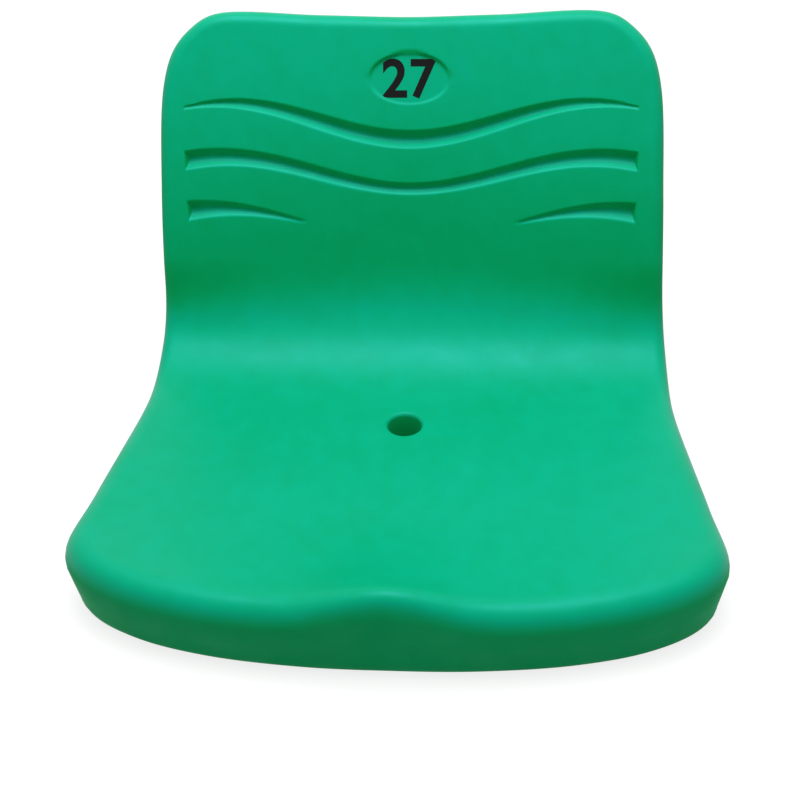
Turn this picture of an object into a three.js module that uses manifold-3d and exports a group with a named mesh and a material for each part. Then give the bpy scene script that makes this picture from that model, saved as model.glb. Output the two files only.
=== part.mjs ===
// Stadium seat: one hollow blow-moulded plastic shell, fastened from below through four moulded-in inserts.
// Millimetres, +Z up. The sitter faces -Y, and +X is to the right of someone who looks at the seat's front.
// The origin is under the middle of the seat, in the plane that its lip and its two rear feet stand on.

import * as THREE from 'three';
import { mergeVertices } from 'three/addons/utils/BufferGeometryUtils.js';
import Module from 'manifold-3d';

const wasm = await Module();
wasm.setup();
const { smoothstep, degToRad, clamp, lerp } = THREE.MathUtils;

// Outline of the shell. It is drawn flat: u runs across the seat and s runs back from the front edge
// along the sitting surface, round the bend and up the back
const seatHalfWidth = 216.7;
const topHalfWidth = 177.9;
const sheetLength = 528.4;
const frontCornerLength = 78;
const frontCornerPower = 2.32;
const topCornerRadius = 53;
const topCornerPower = 1.85;
const topEdgeDip = 5.8;
// Each side point is a share of the way up the side and a share of the way out from the top's half width
const sidePointShares = [
  [0.1, 0.79], [0.215, 0.6], [0.355, 0.39], [0.495, 0.32], [0.634, 0.21], [0.812, 0.12],
];

// Bend of the sitting surface along its centre line, angles in degrees from the floor
const panAngle = -2;
const backAngle = 77;
const topAngle = 61;
const bendStart = 217;
const bendLength = 133;

// Dish: how much the surface rises at dishReach from the centre line
const dishReach = 200;
const dishPower = 2.4;
const panDish = 6.5;
const bendDish = 3;
const backDish = 18;
const topDish = 7;
const dishLead = 80;

// Front lip, raised between the thighs
const lipRun = 102;
const lipRaise = 9.8;
const pommelRaise = 20;
const pommelSpread = 45;

// Rim and walls
const wall = 3.5;
const panThickness = 30;
const backThickness = 24;
const rimDepthFront = 50;
const rimDepthSide = 34;
const sideRimStart = 60;
const backRimStart = 240;
const backRimRun = 200;
const topRoundFront = 17.5;
const topRoundBack = 9;
const topRoundStart = 80;
const topRoundRun = 200;
const lowerRound = 10.5;
const rimLand = 8;
const innerWallRun = 3;
const innerWallShare = 0.35;
const draftShare = 0.09;
const levelEnd = 150;
const levelRun = 150;

// The plane that the seat stands on lies this far under the front end of the centre line
const frontEdgeHeight = 50.5;

// Waves of the back, which share one reach and one depth. Each has its station at the centre, its rise to the
// crests, the distance of the crests from the centre, where it starts, and its half widths
const waveReach = 163;
const waveDepth = 5;
const waveEndRun = 5;
const waveFadedHalfWidth = 1.2;
const topWave = {
  station: 436.4, rise: 26, crest: 132.4, start: 0,
  middle: 6.1, end: waveFadedHalfWidth, taperPower: 2.1,
};
const middleWave = {
  station: 400.4, rise: 23.9, crest: 137, start: 0,
  middle: 4.1, end: 6.4, taperPower: 1.3,
};
const lowWave = {
  station: 360.9, rise: 26, crest: 145, start: 78,
  middle: waveFadedHalfWidth, end: 7, taperPower: 1,
};
// The floor of a wave, as shares of its half width below and above its middle
const waveFloorShares = [-0.15, 0.15];

// Oval recess of the back
const ovalStation = 479.3;
const ovalHalfWidth = 29.4;
const ovalHalfHeight = 18.6;
const ovalDepth = 1.8;
const ovalTilt = 2.4;
const ovalWallRun = 1.6;

// Drain passage
const drainSetback = 199.6;
const drainRadius = 12;
const drainEdgeRound = 3;
const drainLowerRadius = 10.5;

// Rear feet
const footSetback = 250;
const footSpacing = 220;
const footLength = 60;
const footWidth = 34;
const footCorner = 12;
const footEdge = 2;
const footDraft = 1.5;

// Mounting pads, inserts and their fixings (M8)
const padSpacing = 200;
const frontPadSetback = 72;
const padPitch = 120;
const padRadius = 25;
const padEdge = 1.5;
const padHeight = 12;
const washerSeatRadius = 15;
const washerSeatDepth = 0.5;
const bossWall = 6;
const threadRadius = 4;
const insertRadius = 6.5;
const insertSpare = 3;
const insertFloor = 2;
const insertGrooveDepth = 0.8;
const insertGrooveWidth = 4;
const washerRadius = 12;
const washerThickness = 2;
const springRadius = 7.4;
const springThickness = 2;
const springGap = 1.6;
const headWidth = 13;
const headHeight = 5.3;
const headChamfer = 0.9;
const boltLength = 20;
const boltChamfer = 1;

// Blow hole and its plug
const blowHoleSetback = 132;
const blowHoleRadius = 5;
const plugHeadRadius = 8;
const plugHeadHeight = 1.8;
const plugStem = 9;
const plugBore = 2.6;
const plugEdge = 0.8;
const plugBarb = 0.5;
const plugBarbLength = 1.2;

// Clearance between pieces that touch, overrun of cuts, and the fineness of the curves
const clearance = 0.3;
const overrun = 2;
const outlineCount = 96;
const lineCount = 900;
const lineOverrunShare = 0.06;
const waveSteps = 26;
const ovalSteps = 40;
const cornerSteps = 3;
const roundSegments = 24;
const boltSegments = 16;

const plastic = new THREE.MeshStandardMaterial({ color: 0x0ab98c, roughness: 0.42, metalness: 0 });
const zinc = new THREE.MeshStandardMaterial({ color: 0xb4b8ba, roughness: 0.35, metalness: 1 });
const brass = new THREE.MeshStandardMaterial({ color: 0xc2a25a, roughness: 0.35, metalness: 1 });
const darkPlastic = new THREE.MeshStandardMaterial({ color: 0x0a8f63, roughness: 0.5, metalness: 0 });

const topMiddle = sheetLength - topEdgeDip;
const bendEnd = bendStart + bendLength;

// Heights of the fixings under and in a pad: insert, washer, spring washer and screw head
const insertBase = padHeight + washerSeatDepth;
const washerBase = insertBase - clearance - washerThickness;
const springBase = washerBase - clearance - springThickness;
const headTop = springBase - clearance;
const threadClearRadius = threadRadius + clearance;
const insertDepth = headTop + boltLength - insertBase + insertSpare;
const insertLength = insertDepth + insertFloor;

// Angle of the sitting surface to the floor
function surfaceAngle(s) {
  const bend = smoothstep(s, bendStart, bendEnd);
  const roll = smoothstep(s, bendEnd, topMiddle);
  return degToRad(panAngle + (backAngle - panAngle) * bend + (topAngle - backAngle) * roll);
}

// The centre line, added up from short steps at the surface's angle
function traceCentreLine() {
  const first = -lineOverrunShare * sheetLength;
  const step = (1 + 2 * lineOverrunShare) * sheetLength / lineCount;
  const line = [{ s: first, y: 0, z: 0 }];
  for (let i = 1; i <= lineCount; i += 1) {
    const last = line[i - 1];
    const angle = surfaceAngle(last.s + step / 2);
    line.push({ s: last.s + step, y: last.y + step * Math.cos(angle), z: last.z + step * Math.sin(angle) });
  }
  return { first, step, line };
}

const centreLine = traceCentreLine();

function pointOnLine(s) {
  const place = clamp((s - centreLine.first) / centreLine.step, 0, lineCount - 1);
  const index = Math.min(Math.floor(place), lineCount - 1);
  const a = centreLine.line[index];
  const b = centreLine.line[index + 1];
  return { y: lerp(a.y, b.y, place - index), z: lerp(a.z, b.z, place - index) };
}

const frontEnd = pointOnLine(0);

// The station whose centre line point has a given distance back from the front edge, within the flat pan
function stationAt(setback) {
  return setback / Math.cos(degToRad(panAngle));
}

// A point of the seat: u across, s along the centre line, and a height square to the surface
function sheetPoint(u, s, height) {
  const { y, z } = pointOnLine(s);
  const angle = surfaceAngle(s);
  const lineY = y - frontEnd.y;
  const lineZ = z - frontEnd.z + frontEdgeHeight;
  return new THREE.Vector3(u, lineY - height * Math.sin(angle), lineZ + height * Math.cos(angle));
}

// How far the sitting surface rises above the centre line's plain sweep
function lift(u, s) {
  const bendMiddle = (bendStart + bendEnd) / 2;
  const dish = panDish
    + (bendDish - panDish) * smoothstep(s, bendStart - dishLead, bendMiddle)
    + (backDish - bendDish) * smoothstep(s, bendMiddle, bendEnd)
    + (topDish - backDish) * smoothstep(s, bendEnd, topMiddle);
  const lip = Math.max(1 - s / lipRun, 0) ** 2;
  const pommel = Math.exp(-((u / pommelSpread) ** 2));
  return dish * (Math.abs(u) / dishReach) ** dishPower + lip * (lipRaise + pommelRaise * pommel);
}

function rimDepth(s) {
  const side = smoothstep(s, sideRimStart, backRimStart);
  const back = smoothstep(s, backRimStart, backRimStart + backRimRun);
  return rimDepthFront + (rimDepthSide - rimDepthFront) * side + (backThickness - rimDepthSide) * back;
}

function panelThickness(s) {
  return lerp(panThickness, backThickness, smoothstep(s, backRimStart, backRimStart + backRimRun));
}

function topRound(s) {
  return lerp(topRoundFront, topRoundBack, smoothstep(s, topRoundStart, topRoundStart + topRoundRun));
}

// The underside of the pan stays level where the sitting surface is lifted
function underFollow(s) {
  return smoothstep(s, levelEnd, levelEnd + levelRun);
}

// Points of the outline's right half, from the middle of the front edge to the middle of the top edge
function outlineKnots() {
  const knots = [[0, 0]];
  for (const degrees of [78, 60, 42, 24, 8]) {
    const angle = degToRad(degrees);
    const across = Math.cos(angle) ** (2 / frontCornerPower);
    const along = 1 - Math.sin(angle) ** (2 / frontCornerPower);
    knots.push([seatHalfWidth * across, frontCornerLength * along]);
  }
  const cornerStart = sheetLength - topCornerRadius;
  for (const [upShare, outShare] of sidePointShares) {
    knots.push([lerp(topHalfWidth, seatHalfWidth, outShare), lerp(frontCornerLength, cornerStart, upShare)]);
  }
  const cornerCentre = topHalfWidth - topCornerRadius;
  for (const degrees of [0, 30, 50, 70]) {
    const angle = degToRad(degrees);
    const across = Math.cos(angle) ** (2 / topCornerPower);
    const along = Math.sin(angle) ** (2 / topCornerPower);
    knots.push([cornerCentre + topCornerRadius * across, cornerStart + topCornerRadius * along]);
  }
  const dipShare = 0.75;
  knots.push([cornerCentre / 2, sheetLength - dipShare * topEdgeDip], [0, topMiddle]);
  return knots;
}

// The closed outline as evenly weighted points: a step is shorter where the outline or the surface turns
function traceOutline(count) {
  const right = outlineKnots();
  const left = right.slice(1, -1).reverse().map(([u, s]) => [-u, s]);
  const knots = [...right, ...left].map(([u, s]) => new THREE.Vector3(u, s, 0));
  const curve = new THREE.CatmullRomCurve3(knots, true, 'centripetal');
  const fine = curve.getPoints(lineCount * 2).slice(0, lineCount + 1);
  const stepPerLength = 30 / sheetLength;
  const stepPerTurn = 5;
  const stepPerBend = 6;
  const effort = [0];
  let heading = 0;
  for (let i = 1; i < fine.length; i += 1) {
    const along = fine[i].clone().sub(fine[i - 1]);
    const newHeading = Math.atan2(along.y, along.x);
    const turn = Math.abs(newHeading - heading);
    const bend = Math.abs(surfaceAngle(fine[i].y) - surfaceAngle(fine[i - 1].y));
    effort.push(effort[i - 1] + along.length() * stepPerLength + turn * stepPerTurn + bend * stepPerBend);
    heading = newHeading;
  }
  const half = count / 2;
  const rightSide = [];
  let at = 0;
  for (let i = 0; i <= half; i += 1) {
    const target = effort[lineCount] * i / half;
    while (at < lineCount - 1 && effort[at + 1] < target) at += 1;
    const share = (target - effort[at]) / (effort[at + 1] - effort[at]);
    rightSide.push(fine[at].clone().lerp(fine[at + 1], share));
  }
  rightSide[0].set(0, 0, 0);
  rightSide[half].set(0, topMiddle, 0);
  const leftSide = rightSide.slice(1, -1).reverse().map((p) => new THREE.Vector3(-p.x, p.y, 0));
  return addInwardNormals([...rightSide, ...leftSide]);
}

function addInwardNormals(points) {
  const count = points.length;
  return points.map((p, i) => {
    const before = points[(i + count - 1) % count];
    const after = points[(i + 1) % count];
    const along = after.clone().sub(before).normalize();
    return { u: p.x, s: p.y, inU: -along.y, inS: along.x };
  });
}

const outline = traceOutline(outlineCount);

// The line down the middle of the seat that the rings of the skin close on
const spineFrontShare = 0.283;
const spineBackShare = 0.942;

function spineStation(s) {
  return clamp(s, spineFrontShare * sheetLength, spineBackShare * sheetLength);
}

// A ring of the skin: each outline point moves in by its inset, then towards the spine by the share
function ring(insetAt, heightAt, share = 1) {
  return outline.map((point) => {
    const inset = insetAt(point.s);
    const edgeU = point.u + point.inU * inset;
    const edgeS = point.s + point.inS * inset;
    const u = edgeU * share;
    const s = lerp(spineStation(point.s), edgeS, share);
    return sheetPoint(u, s, heightAt(u, s, point.s));
  });
}

// Rings of a closed skin that lies a given distance inside the shell's outer face, from the middle of its
// upper face, over the rim, to the middle of its lower face
function skinRings(inside, upperShares, roundDegrees, lowerShares) {
  const draft = (s) => draftShare * rimDepth(s);
  const upperHeight = (u, s) => lift(u, s) - inside;
  const lowerHeight = (u, s) => underFollow(s) * lift(u, s) - panelThickness(s) + inside;
  const rimHeight = (depthAt) => (u, s, rimStation) => {
    const depth = depthAt(rimStation);
    const level = (1 - underFollow(s)) * smoothstep(depth, 0, rimDepth(rimStation));
    return lift(u, s) * (1 - level) - depth;
  };
  const rings = upperShares.map((share) => ring(topRound, upperHeight, share));
  for (const degrees of [...roundDegrees].reverse()) {
    const angle = degToRad(degrees);
    const inset = (s) => topRound(s) - (topRound(s) - inside) * Math.cos(angle);
    const depth = (s) => topRound(s) - (topRound(s) - inside) * Math.sin(angle);
    rings.push(ring(inset, rimHeight(depth)));
  }
  for (const degrees of roundDegrees) {
    const angle = degToRad(degrees);
    const inset = (s) => draft(s) + lowerRound - (lowerRound - inside) * Math.cos(angle);
    const depth = (s) => rimDepth(s) - lowerRound + (lowerRound - inside) * Math.sin(angle);
    rings.push(ring(inset, rimHeight(depth)));
  }
  const landInset = (s) => draft(s) + lowerRound + rimLand - inside;
  const wallInset = (s) => landInset(s) + innerWallRun + innerWallShare * (rimDepth(s) - panelThickness(s));
  rings.push(ring(landInset, rimHeight((s) => rimDepth(s) - inside)));
  for (const share of [1, ...lowerShares]) {
    rings.push(ring(wallInset, lowerHeight, share));
  }
  return rings;
}

// A closed mesh through rings of points. Its ends have closed on a line or get a flat cap
function loft(rings, capped) {
  const count = rings[0].length;
  const positions = [];
  for (const points of rings) {
    for (const p of points) positions.push(p.x, p.y, p.z);
  }
  const index = [];
  for (let r = 0; r + 1 < rings.length; r += 1) {
    for (let i = 0; i < count; i += 1) {
      const j = (i + 1) % count;
      const a = r * count + i;
      const b = r * count + j;
      const c = a + count;
      const d = b + count;
      if (i < count / 2) index.push(a, c, d, a, d, b);
      else index.push(a, c, b, b, c, d);
    }
  }
  if (capped) {
    const end = (rings.length - 1) * count;
    for (let i = 1; i + 1 < count; i += 1) {
      index.push(0, i, i + 1, end, end + i + 1, end + i);
    }
  }
  const geometry = new THREE.BufferGeometry();
  geometry.setAttribute('position', new THREE.Float32BufferAttribute(positions, 3));
  geometry.setIndex(index);
  return geometry;
}

// A solid for joining and cutting: shared corners are merged and empty triangles are left out
function solid(geometry) {
  const bare = geometry.clone();
  bare.deleteAttribute('normal');
  bare.deleteAttribute('uv');
  const merged = mergeVertices(bare);
  const corners = merged.index.array;
  const kept = [];
  for (let i = 0; i < corners.length; i += 3) {
    const [a, b, c] = [corners[i], corners[i + 1], corners[i + 2]];
    if (a !== b && b !== c && c !== a) kept.push(a, b, c);
  }
  const vertProperties = new Float32Array(merged.attributes.position.array);
  return new wasm.Manifold(new wasm.Mesh({ numProp: 3, vertProperties, triVerts: new Uint32Array(kept) }));
}

function geometryOf(body) {
  const mesh = body.getMesh();
  const geometry = new THREE.BufferGeometry();
  geometry.setAttribute('position', new THREE.BufferAttribute(new Float32Array(mesh.vertProperties), 3));
  geometry.setIndex(new THREE.BufferAttribute(new Uint32Array(mesh.triVerts), 1));
  geometry.computeVertexNormals();
  return geometry;
}

// A turned piece about a vertical axis, from [radius, height] points
function turned(points, segments = roundSegments) {
  const profile = points.map(([radius, height]) => new THREE.Vector2(radius, height));
  return new THREE.LatheGeometry(profile, segments).rotateX(Math.PI / 2);
}

function moved(geometry, x, y, z) {
  return geometry.clone().translate(x, y, z);
}

// Half width and depth of a wave at a distance from the centre
function waveSection(wave, distance) {
  const along = clamp((distance - wave.start) / (waveReach - wave.start), 0, 1);
  const halfWidth = lerp(wave.middle, wave.end, along ** wave.taperPower);
  const widest = Math.max(wave.middle, wave.end);
  const toEnd = Math.max(waveReach - distance, 0);
  const toStart = wave.start > 0 ? Math.max(distance - wave.start, 0) : waveReach;
  const ramp = Math.min(Math.min(toEnd, toStart) / waveEndRun, 1);
  return { halfWidth, depth: waveDepth * Math.sqrt(halfWidth / widest) * ramp };
}

// Cross-section loop of a wave's cutter, grown for the wall behind the wave
function waveLoop(wave, u, grown) {
  const distance = Math.abs(u);
  const middle = wave.station + wave.rise * (1 - Math.cos(Math.PI * distance / wave.crest)) / 2;
  const { halfWidth, depth } = waveSection(wave, distance);
  const mouth = halfWidth + grown + overrun * halfWidth / waveDepth;
  const [lowShare, highShare] = waveFloorShares;
  const corner = (offset, height) => {
    const s = middle + offset;
    return sheetPoint(u, s, lift(u, s) + height);
  };
  return [
    corner(mouth, overrun),
    corner(highShare * halfWidth + grown, -depth - grown),
    corner(lowShare * halfWidth - grown, -depth - grown),
    corner(-mouth, overrun),
  ];
}

// The cutter of a wave between two places across the seat
function waveCutter(wave, from, to, grown) {
  const loops = [];
  for (let i = 0; i <= waveSteps; i += 1) {
    loops.push(waveLoop(wave, lerp(from - grown, to + grown, i / waveSteps), grown));
  }
  return solid(loft(loops, true));
}

function waveCutters(grown) {
  return [
    waveCutter(topWave, -waveReach, waveReach, grown),
    waveCutter(middleWave, -waveReach, waveReach, grown),
    waveCutter(lowWave, -waveReach, -lowWave.start, grown),
    waveCutter(lowWave, lowWave.start, waveReach, grown),
  ];
}

// The oval recess: its floor is flat and a little deeper at the top
function ovalCutter(grown) {
  const centre = sheetPoint(0, ovalStation, 0);
  const angle = surfaceAngle(ovalStation);
  const up = new THREE.Vector3(0, Math.cos(angle), Math.sin(angle));
  const out = new THREE.Vector3(0, -Math.sin(angle), Math.cos(angle));
  const slope = Math.tan(degToRad(ovalTilt));
  const wallSlope = ovalWallRun / ovalDepth;
  const oval = (heightAt) => {
    const loop = [];
    for (let i = 0; i < ovalSteps; i += 1) {
      const turn = 2 * Math.PI * i / ovalSteps;
      const height = heightAt(slope * Math.sin(turn));
      const outset = grown + height * wallSlope;
      const across = (ovalHalfWidth + outset) * Math.cos(turn);
      const along = (ovalHalfHeight + outset) * Math.sin(turn);
      loop.push(centre.clone().addScaledVector(up, along).addScaledVector(out, height).setX(across));
    }
    return loop;
  };
  const rim = oval(() => overrun);
  const floorDepth = (lean) => ovalDepth + grown + lean * (ovalHalfHeight + grown);
  const floor = oval((lean) => -floorDepth(lean) / (1 + lean * wallSlope));
  return solid(loft([rim, floor], true));
}

// Height of the middle of the hollow above a point of the pan
function middleHeight(setback) {
  return sheetPoint(0, stationAt(setback), -panThickness / 2).z;
}

// Rounded rectangle seen from above, counter-clockwise
function roundedLoop(centreX, centreY, halfX, halfY, corner, z) {
  const loop = [];
  for (const [quarter, [sideX, sideY]] of [[1, 1], [-1, 1], [-1, -1], [1, -1]].entries()) {
    for (let i = 0; i <= cornerSteps; i += 1) {
      const angle = Math.PI / 2 * (quarter + i / cornerSteps);
      const x = centreX + sideX * (halfX - corner) + corner * Math.cos(angle);
      const y = centreY + sideY * (halfY - corner) + corner * Math.sin(angle);
      loop.push(new THREE.Vector3(x, y, z));
    }
  }
  return loop;
}

// A rear foot, or the hollow inside it
function foot(side, inside) {
  const x = side * footSpacing / 2;
  const top = middleHeight(footSetback);
  const loop = (grow, z) => {
    const halfX = footLength / 2 + grow - inside;
    const halfY = footWidth / 2 + grow - inside;
    return roundedLoop(x, footSetback, halfX, halfY, footCorner + grow - inside, z);
  };
  return solid(loft([loop(footDraft, top), loop(0, inside + footEdge), loop(-footEdge, inside)], true));
}

// A pad bears on its outer ring: its middle is set back a little, as the washer's seat
function mountingPad(x, y) {
  const top = middleHeight(y);
  return solid(moved(turned([
    [0, insertBase],
    [washerSeatRadius, insertBase],
    [washerSeatRadius, padHeight],
    [padRadius - padEdge, padHeight],
    [padRadius, padHeight + padEdge],
    [padRadius, top],
    [0, top],
  ]), x, y, 0));
}

// A plain round cutter or filling between two heights
function column(radius, low, high) {
  return turned([[0, low], [radius, low], [radius, high], [0, high]]);
}

function drainCutter() {
  const top = sheetPoint(0, stationAt(drainSetback), 0).z;
  const bottom = top - panThickness;
  const rounding = [30, 60, 90].map((degrees) => {
    const angle = degToRad(degrees);
    const radius = drainRadius + drainEdgeRound * (1 - Math.cos(angle));
    return [radius, top - drainEdgeRound * (1 - Math.sin(angle))];
  });
  return solid(moved(turned([
    [0, bottom - overrun],
    [drainLowerRadius, bottom - overrun],
    [drainRadius, top - drainEdgeRound],
    ...rounding,
    [drainRadius + drainEdgeRound, top + overrun],
    [0, top + overrun],
  ]), 0, drainSetback, 0));
}

// Turns and moves a piece that is made about +Z to stand on the underside of the pan
function onUnderside(piece, setback) {
  const station = stationAt(setback);
  const place = sheetPoint(0, station, -panThickness);
  return piece.rotateX(surfaceAngle(station)).translate(place.x, place.y, place.z);
}

// The places of the four fixings
function fixingPlaces() {
  const places = [];
  for (const [row, y] of [['front', frontPadSetback], ['rear', frontPadSetback + padPitch]]) {
    for (const [hand, side] of [['left', -1], ['right', 1]]) {
      places.push({ name: `${row}_${hand}`, x: side * padSpacing / 2, y });
    }
  }
  return places;
}

function makeShell() {
  const upperShares = [0, 0.16, 0.36, 0.55, 0.72, 0.87];
  const lowerShares = [0.72, 0.4, 0];
  let outside = solid(loft(skinRings(0, upperShares, [0, 30, 60, 90], lowerShares), false));
  let hollow = solid(loft(skinRings(wall, [0, 0.25, 0.5, 0.75], [0, 45, 90], lowerShares), false));
  for (const side of [-1, 1]) {
    outside = outside.add(foot(side, 0));
    hollow = hollow.add(foot(side, wall));
  }
  const drainTop = sheetPoint(0, stationAt(drainSetback), 0).z;
  const drainTube = column(drainRadius + wall, drainTop - panThickness, drainTop);
  hollow = hollow.subtract(solid(moved(drainTube, 0, drainSetback, 0)));
  const bossTop = insertBase + insertLength + bossWall;
  for (const { x, y } of fixingPlaces()) {
    outside = outside.add(mountingPad(x, y));
    hollow = hollow.subtract(solid(moved(column(insertRadius + bossWall, 0, bossTop), x, y, 0)));
  }
  for (const cutter of [...waveCutters(wall), ovalCutter(wall)]) hollow = hollow.subtract(cutter);
  const ground = new THREE.BoxGeometry(2 * sheetLength, 2 * sheetLength, frontEdgeHeight);
  ground.translate(0, 0, -frontEdgeHeight / 2);
  hollow = hollow.subtract(solid(moved(ground, 0, 0, wall)));
  let shell = outside.subtract(hollow).subtract(solid(ground)).subtract(drainCutter());
  for (const cutter of [...waveCutters(0), ovalCutter(0)]) shell = shell.subtract(cutter);
  const bore = column(insertRadius + clearance, padHeight - overrun, insertBase + insertLength + clearance);
  for (const { x, y } of fixingPlaces()) shell = shell.subtract(solid(moved(bore, x, y, 0)));
  const blowHole = onUnderside(column(blowHoleRadius, -overrun, panThickness / 2), blowHoleSetback);
  return geometryOf(shell.subtract(solid(blowHole)));
}

// Blind threaded insert with an anchoring groove, standing on its open end
function makeInsert() {
  const neck = insertRadius - insertGrooveDepth;
  const grooveLow = (insertLength - insertGrooveWidth) / 2;
  const grooveHigh = grooveLow + insertGrooveWidth;
  return turned([
    [0, insertDepth],
    [threadClearRadius, insertDepth],
    [threadClearRadius, 0],
    [insertRadius, 0],
    [insertRadius, grooveLow],
    [neck, grooveLow + insertGrooveDepth],
    [neck, grooveHigh - insertGrooveDepth],
    [insertRadius, grooveHigh],
    [insertRadius, insertLength],
    [0, insertLength],
  ], boltSegments);
}

function makeWasher() {
  return turned([
    [threadClearRadius, 0],
    [washerRadius, 0],
    [washerRadius, washerThickness],
    [threadClearRadius, washerThickness],
    [threadClearRadius, 0],
  ]);
}

function makeSpringWasher() {
  const halfGap = springGap / 2 / springRadius;
  const shape = new THREE.Shape();
  shape.absarc(0, 0, springRadius, halfGap, 2 * Math.PI - halfGap, false);
  shape.absarc(0, 0, threadClearRadius, 2 * Math.PI - halfGap, halfGap, true);
  const curveSegments = boltSegments;
  return new THREE.ExtrudeGeometry(shape, { depth: springThickness, bevelEnabled: false, curveSegments });
}

// Hexagon screw, head down, with its bearing face at the origin
function makeBolt() {
  const cornerRadius = headWidth / 2 / Math.cos(Math.PI / 6);
  const hexagon = new THREE.CylinderGeometry(cornerRadius, cornerRadius, headHeight, 6);
  hexagon.rotateX(Math.PI / 2).translate(0, 0, -headHeight / 2);
  const face = headWidth / 2;
  const chamfer = turned([
    [0, -headHeight],
    [face, -headHeight],
    [cornerRadius + clearance, -headHeight + headChamfer],
    [cornerRadius + clearance, overrun],
    [0, overrun],
  ], boltSegments * 2);
  const shank = turned([
    [0, -overrun],
    [threadRadius, -overrun],
    [threadRadius, boltLength - boltChamfer],
    [threadRadius - boltChamfer, boltLength],
    [0, boltLength],
  ], boltSegments);
  return geometryOf(solid(hexagon).intersect(solid(chamfer)).add(solid(shank)));
}

// Push-in plug: a head under the skin, and a hollow stem whose barb holds above it
function makePlug() {
  const stem = blowHoleRadius - clearance;
  const barbLow = wall + clearance;
  const headLow = -clearance - plugHeadHeight;
  return turned([
    [0, headLow],
    [plugHeadRadius - plugEdge, headLow],
    [plugHeadRadius, headLow + plugEdge],
    [plugHeadRadius, -clearance],
    [stem, -clearance],
    [stem, barbLow],
    [blowHoleRadius + plugBarb, barbLow],
    [stem, barbLow + plugBarbLength],
    [stem, plugStem],
    [plugBore, plugStem],
    [plugBore, 0],
    [0, 0],
  ], boltSegments);
}

const seat = new THREE.Group();

function addMesh(name, geometry, material, x, y, z) {
  const mesh = new THREE.Mesh(geometry, material);
  mesh.name = name;
  mesh.position.set(x, y, z);
  seat.add(mesh);
  return mesh;
}

addMesh('seat_shell', makeShell(), plastic, 0, 0, 0);
for (const { name, x, y } of fixingPlaces()) {
  addMesh(`insert_${name}`, makeInsert(), brass, x, y, insertBase);
  addMesh(`washer_${name}`, makeWasher(), zinc, x, y, washerBase);
  addMesh(`spring_washer_${name}`, makeSpringWasher(), zinc, x, y, springBase);
  addMesh(`bolt_${name}`, makeBolt(), zinc, x, y, headTop);
}
addMesh('blow_hole_plug', onUnderside(makePlug(), blowHoleSetback), darkPlastic, 0, 0, 0);

// The origin moves under the middle of the whole seat
const box = new THREE.Box3().setFromObject(seat);
const centre = box.getCenter(new THREE.Vector3());
seat.position.set(-centre.x, -centre.y, 0);

export default seat;
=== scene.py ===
# %% [markdown]
# # A blow-moulded stadium seat
#
# This lesson dresses a packed stadium seat: the hollow green shell, the screws under it, and the number in
# its oval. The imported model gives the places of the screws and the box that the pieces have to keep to, so
# the first cell loads it. At the end the box of the finished pieces is set beside it.

# %% Load the frame
import math
import bpy
import numpy as np
from mathutils import Matrix, Vector


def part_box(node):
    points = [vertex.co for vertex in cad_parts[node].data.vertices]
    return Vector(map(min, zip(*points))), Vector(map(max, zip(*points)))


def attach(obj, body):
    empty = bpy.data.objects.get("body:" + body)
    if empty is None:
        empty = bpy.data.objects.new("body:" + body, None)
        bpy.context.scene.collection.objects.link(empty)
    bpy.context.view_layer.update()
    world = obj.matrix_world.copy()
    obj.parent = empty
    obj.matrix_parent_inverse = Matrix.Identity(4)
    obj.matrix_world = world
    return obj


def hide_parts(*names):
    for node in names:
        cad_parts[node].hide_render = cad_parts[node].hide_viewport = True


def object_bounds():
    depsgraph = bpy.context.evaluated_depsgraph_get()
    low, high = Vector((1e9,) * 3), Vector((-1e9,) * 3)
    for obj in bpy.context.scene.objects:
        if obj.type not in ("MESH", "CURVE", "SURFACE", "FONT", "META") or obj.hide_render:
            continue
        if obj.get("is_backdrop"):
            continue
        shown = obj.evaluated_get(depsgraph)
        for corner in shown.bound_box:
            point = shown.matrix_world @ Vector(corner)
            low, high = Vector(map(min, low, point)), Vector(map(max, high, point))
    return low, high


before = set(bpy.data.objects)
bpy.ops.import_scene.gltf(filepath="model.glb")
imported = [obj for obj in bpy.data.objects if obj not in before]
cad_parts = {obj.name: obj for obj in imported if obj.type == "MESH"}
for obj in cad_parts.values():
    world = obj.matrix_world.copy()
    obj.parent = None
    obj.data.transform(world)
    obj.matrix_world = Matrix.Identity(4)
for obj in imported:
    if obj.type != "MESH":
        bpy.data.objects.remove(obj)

cad_box = [list(corner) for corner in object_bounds()]
shell_low, shell_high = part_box("seat_shell")
mm = 0.001
print("box of the packed model", cad_box)

# %% [markdown]
# ## Camera
#
# The photograph looks down at the seat from about a metre away. The camera is placed from the point that
# it looks at: it stands back from there along a line with an azimuth and an elevation. A small roll is
# added, because the seat leans a little in the picture.

# %% Place the camera
target = Vector((-1.77 * mm, -4.57 * mm, 73.49 * mm))
camera_distance = 1000 * mm
camera_azimuth = math.radians(5.22)
camera_elevation = math.radians(39.04)
camera_roll = math.radians(-2.47)
focal_length = 64.57

away = Vector((
    math.sin(camera_azimuth) * math.cos(camera_elevation),
    -math.cos(camera_azimuth) * math.cos(camera_elevation),
    math.sin(camera_elevation),
))
level_right = Vector((math.cos(camera_azimuth), math.sin(camera_azimuth), 0))
level_up = away.cross(level_right)
camera_right = level_right * math.cos(camera_roll) + level_up * math.sin(camera_roll)
camera_up = away.cross(camera_right)

lens = bpy.data.cameras.new("camera")
lens.lens = focal_length
camera = bpy.data.objects.new("camera", lens)
axes = Matrix((camera_right, camera_up, away)).transposed()
camera.matrix_world = Matrix.LocRotScale(target + away * camera_distance, axes, None)
bpy.context.scene.collection.objects.link(camera)
bpy.context.scene.camera = camera
print("camera at", tuple(round(value, 3) for value in camera.location))

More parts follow.
